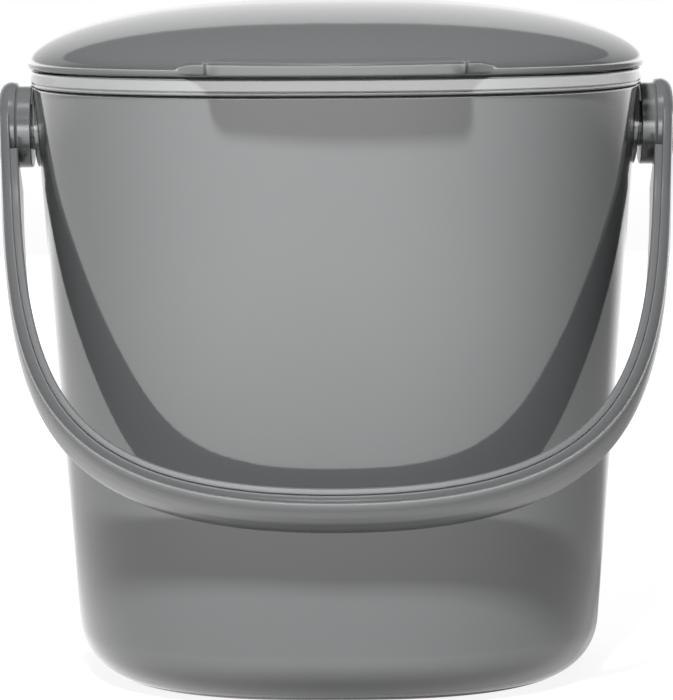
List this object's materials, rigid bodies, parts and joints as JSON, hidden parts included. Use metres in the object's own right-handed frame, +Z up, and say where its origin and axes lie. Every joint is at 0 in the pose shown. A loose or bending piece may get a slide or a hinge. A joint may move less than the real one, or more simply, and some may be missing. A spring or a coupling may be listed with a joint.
{
  "type": "compost caddy",
  "caption": "Kitchen compost caddy: tapered rounded-square bucket, rim ring, domed hinged lid with a finger tab, and a strap bail on side pivots.",
  "frame": {"origin": "middle of the flat base, on the surface the caddy stands on", "axes": "+Z up, the front with the finger tab faces -Y, +X to the right seen from the front"},
  "size_m": [0.19, 0.1888, 0.1886],
  "materials": {
    "body_plastic": "gloss moulded polypropylene, charcoal grey",
    "ring_plastic": "gloss moulded polypropylene, charcoal grey",
    "lid_plastic": "gloss moulded polypropylene, charcoal grey",
    "liner_plastic": "satin moulded polypropylene, grey",
    "seal_rubber": "soft dark elastomer",
    "pin_steel": "drawn stainless steel",
    "handle_plastic": "gloss moulded polypropylene, charcoal grey",
    "strip_plastic": "gloss moulded polypropylene, charcoal grey"
  },
  "bodies": {
    "bucket": {"bucket": "body_plastic", "rim_ring": "ring_plastic", "hinge_pin_left": "pin_steel", "hinge_pin_right": "pin_steel", "pivot_cap_left": "handle_plastic", "pivot_cap_right": "handle_plastic"},
    "lid": {"lid_shell": "lid_plastic", "lid_liner": "liner_plastic", "lid_seal": "seal_rubber"},
    "handle": {"handle_bow": "handle_plastic", "handle_inner_strip": "strip_plastic"}
  },
  "joints": [
    {"name": "lid_hinge", "type": "hinge", "parent": "bucket", "child": "lid", "pos_m": [0, 0.0894, 0.1681], "axis": [-1, 0, 0], "range_deg": [0, 105]},
    {"name": "handle_pivot", "type": "hinge", "parent": "bucket", "child": "handle", "pos_m": [0, 0, 0.1532], "axis": [-1, 0, 0], "range_deg": [0, 279]}
  ]
}
